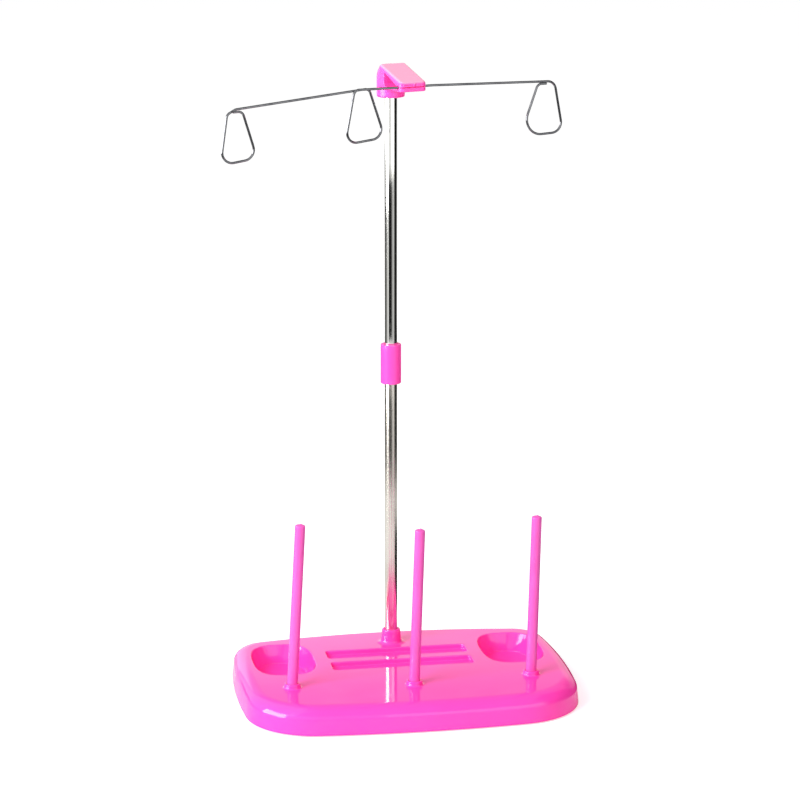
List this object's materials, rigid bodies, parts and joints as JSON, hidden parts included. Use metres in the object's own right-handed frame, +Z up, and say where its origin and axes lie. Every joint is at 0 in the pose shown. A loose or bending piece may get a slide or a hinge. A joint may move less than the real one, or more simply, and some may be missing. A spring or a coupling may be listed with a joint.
{
  "type": "thread cone stand",
  "caption": "Free-standing thread cone stand: a moulded base with trays and spool pins, a jointed tubular pole, and a wire thread guide with eyelet loops clipped to a swivelling head.",
  "frame": {"origin": "the middle of the part's footprint on the table, at the level of the rubber feet", "axes": "+Z up along the pole, -Y toward the front with the spool pins, +X to the right"},
  "size_m": [0.2776, 0.1938, 0.4886],
  "materials": {
    "pink_plastic": "glossy",
    "pin_plastic": "satin",
    "chromed_tube": "polished",
    "wire": "bright drawn",
    "foot_rubber": "matte"
  },
  "bodies": {
    "base": {"base_shell": "pink_plastic", "rubber_foot_front_left": "foot_rubber", "rubber_foot_front_right": "foot_rubber", "rubber_foot_back_left": "foot_rubber", "rubber_foot_back_right": "foot_rubber"},
    "left_pin": {"spool_pin_left": "pin_plastic"},
    "middle_pin": {"spool_pin_middle": "pin_plastic"},
    "right_pin": {"spool_pin_right": "pin_plastic"},
    "lower_pole": {"lower_tube": "chromed_tube", "coupling_sleeve": "pink_plastic"},
    "upper_pole": {"upper_tube": "chromed_tube"},
    "head": {"guide_clip": "pink_plastic"},
    "wire": {"thread_guide_wire": "wire"}
  },
  "joints": [
    {"name": "left_pin_pull", "type": "slide", "parent": "base", "child": "left_pin", "axis": [0.0558, 0, 0.9984], "range_m": [0, 0.04]},
    {"name": "middle_pin_pull", "type": "slide", "parent": "base", "child": "middle_pin", "axis": [0.0349, 0, 0.9994], "range_m": [0, 0.04]},
    {"name": "right_pin_pull", "type": "slide", "parent": "base", "child": "right_pin", "axis": [0.0262, 0, 0.9997], "range_m": [0, 0.04]},
    {"name": "pole_lift_out", "type": "slide", "parent": "base", "child": "lower_pole", "axis": [0, 0, 1], "range_m": [0, 0.05]},
    {"name": "upper_tube_pull", "type": "slide", "parent": "lower_pole", "child": "upper_pole", "axis": [0, 0, 1], "range_m": [0, 0.03]},
    {"name": "head_swivel", "type": "hinge", "parent": "upper_pole", "child": "head", "pos_m": [0.00187, 0.06015, 0.47], "axis": [0, 0, 1], "continuous": true},
    {"name": "wire_turn", "type": "hinge", "parent": "head", "child": "wire", "pos_m": [0.01201, 0.02718, 0.47425], "axis": [0.9558, 0.294, 0], "range_deg": [-90, 90]}
  ]
}
